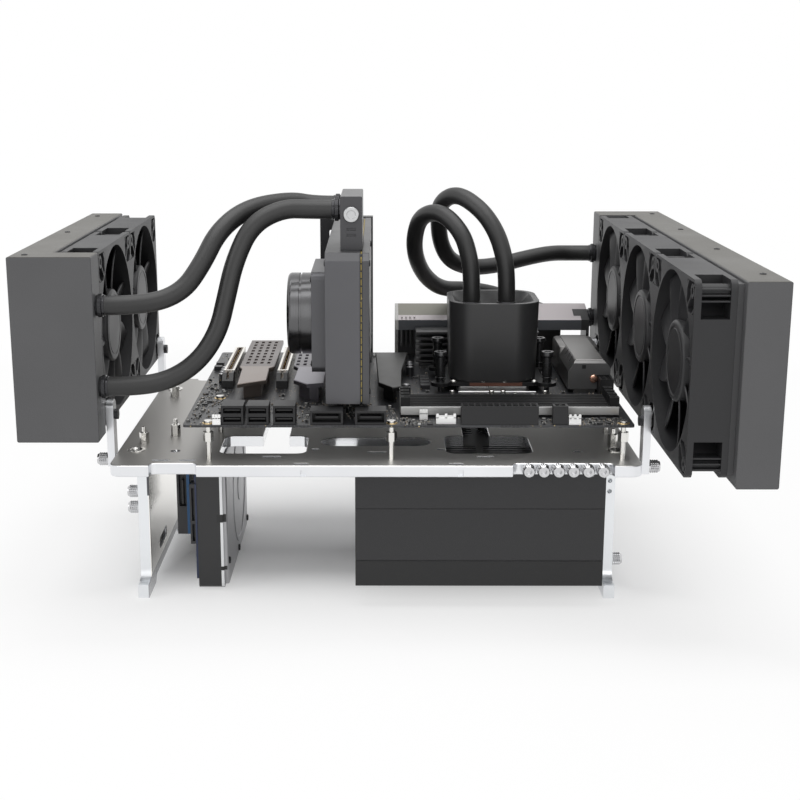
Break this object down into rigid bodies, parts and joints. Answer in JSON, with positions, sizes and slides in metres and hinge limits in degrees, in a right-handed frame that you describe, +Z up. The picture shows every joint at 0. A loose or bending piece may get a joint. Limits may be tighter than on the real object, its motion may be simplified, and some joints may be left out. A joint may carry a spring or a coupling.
{
  "type": "open air test bench",
  "caption": "Open aluminium bench on side legs that carries a liquid-cooled computer: board on top, drives and power supply below, radiators with fans at the sides.",
  "frame": {"origin": "on the surface that it stands on, in the middle of the footprint", "axes": "+Z up, +Y from the front edge of the deck to the rear ports, +X to the right of a viewer at the front"},
  "size_m": [0.48, 0.396, 0.293],
  "materials": {
    "bench_aluminium": "fine satin anodised",
    "bright_hardware": "bright, knurled",
    "black_screws": "black oxide",
    "fan_frame": "matte",
    "fan_rotor": "satin",
    "radiator": "matte powder coat",
    "board_laminate": "satin solder mask",
    "board_screws": "bright",
    "socket_steel": "satin",
    "black_sockets": "matte",
    "card_slots": "matte with bright armour",
    "white_headers": "matte",
    "left_cover": "satin, warm grey",
    "middle_cover": "satin, lilac grey",
    "right_cover": "satin grey",
    "side_heatsink": "satin dark grey",
    "rear_heatsink": "black anodised",
    "port_shroud": "satin, pale lilac",
    "rear_ports": "satin",
    "copper": "polished copper",
    "bracket_steel": "satin",
    "cpu_block": "satin black",
    "gpu_board": "solder mask",
    "gpu_block": "satin dark grey",
    "gpu_pump": "satin black",
    "gpu_backplate": "satin dark grey",
    "gpu_bracket": "black",
    "gpu_terminal": "satin black",
    "hose_fitting": "satin black",
    "hose": "matte",
    "ssd_case": "satin black",
    "hard_drive": "cast and satin",
    "drive_board": "blue solder mask",
    "psu_case": "fine matte powder coat",
    "switch_plastic": "gloss black",
    "inlet_plastic": "matte"
  },
  "bodies": {
    "bench": {"board_screws": "board_screws", "card_slots": "card_slots", "cooler_screws": "black_screws", "cpu_bracket": "bracket_steel", "cpu_cold_plate": "copper", "cpu_hose_left": "hose", "cpu_hose_right": "hose", "cpu_socket": "socket_steel", "cpu_water_block": "cpu_block", "deck_plate": "bench_aluminium", "front_left_post": "bench_aluminium", "front_right_post": "bench_aluminium", "gpu_backplate": "gpu_backplate", "gpu_board": "gpu_board", "gpu_bracket": "gpu_bracket", "gpu_hose_front": "hose", "gpu_hose_rear": "hose", "gpu_pump": "gpu_pump", "gpu_terminal": "gpu_terminal", "gpu_water_block": "gpu_block", "hard_drive": "hard_drive", "hard_drive_board": "drive_board", "hose_fittings": "hose_fitting", "left_board_cover": "left_cover", "left_fan_1_frame": "fan_frame", "left_fan_2_frame": "fan_frame", "left_leg": "bench_aluminium", "left_radiator": "radiator", "memory_slots": "black_sockets", "middle_board_cover": "middle_cover", "motherboard": "board_laminate", "pin_headers": "white_headers", "port_shroud": "port_shroud", "post_screws": "black_screws", "power_sockets": "black_sockets", "psu_case": "psu_case", "psu_inlet": "inlet_plastic", "rear_heatsink": "rear_heatsink", "rear_left_post": "bench_aluminium", "rear_ports": "rear_ports", "rear_right_post": "bench_aluminium", "right_board_cover": "right_cover", "right_fan_1_frame": "fan_frame", "right_fan_2_frame": "fan_frame", "right_fan_3_frame": "fan_frame", "right_leg": "bench_aluminium", "right_radiator": "radiator", "sata_sockets": "black_sockets", "side_heatsink": "side_heatsink", "ssd": "ssd_case", "standoffs": "bright_hardware", "thumb_screws": "bright_hardware", "usb_sockets": "black_sockets"},
    "left_fan_1_rotor_body": {"left_fan_1_rotor": "fan_rotor"},
    "left_fan_2_rotor_body": {"left_fan_2_rotor": "fan_rotor"},
    "right_fan_1_rotor_body": {"right_fan_1_rotor": "fan_rotor"},
    "right_fan_2_rotor_body": {"right_fan_2_rotor": "fan_rotor"},
    "right_fan_3_rotor_body": {"right_fan_3_rotor": "fan_rotor"},
    "psu_fan_rotor_body": {"psu_fan_rotor": "fan_rotor"},
    "psu_rocker_body": {"psu_rocker": "switch_plastic"}
  },
  "joints": [
    {"name": "left_fan_1_spin", "type": "hinge", "parent": "bench", "child": "left_fan_1_rotor_body", "pos_m": [-0.1975, -0.0105, 0.1926], "axis": [1, 0, 0], "continuous": true},
    {"name": "left_fan_2_spin", "type": "hinge", "parent": "bench", "child": "left_fan_2_rotor_body", "pos_m": [-0.1975, 0.1095, 0.1926], "axis": [1, 0, 0], "continuous": true},
    {"name": "right_fan_1_spin", "type": "hinge", "parent": "bench", "child": "right_fan_1_rotor_body", "pos_m": [0.1975, -0.133, 0.1926], "axis": [1, 0, 0], "continuous": true},
    {"name": "right_fan_2_spin", "type": "hinge", "parent": "bench", "child": "right_fan_2_rotor_body", "pos_m": [0.1975, -0.013, 0.1926], "axis": [1, 0, 0], "continuous": true},
    {"name": "right_fan_3_spin", "type": "hinge", "parent": "bench", "child": "right_fan_3_rotor_body", "pos_m": [0.1975, 0.107, 0.1926], "axis": [1, 0, 0], "continuous": true},
    {"name": "psu_fan_spin", "type": "hinge", "parent": "bench", "child": "psu_fan_rotor_body", "pos_m": [0.0745, 0.002, 0.0915], "axis": [0, 0, 1], "continuous": true},
    {"name": "psu_rocker_tilt", "type": "hinge", "parent": "bench", "child": "psu_rocker_body", "pos_m": [0.1605, 0.006, 0.062], "axis": [0, 1, 0], "range_deg": [-8, 8]}
  ]
}
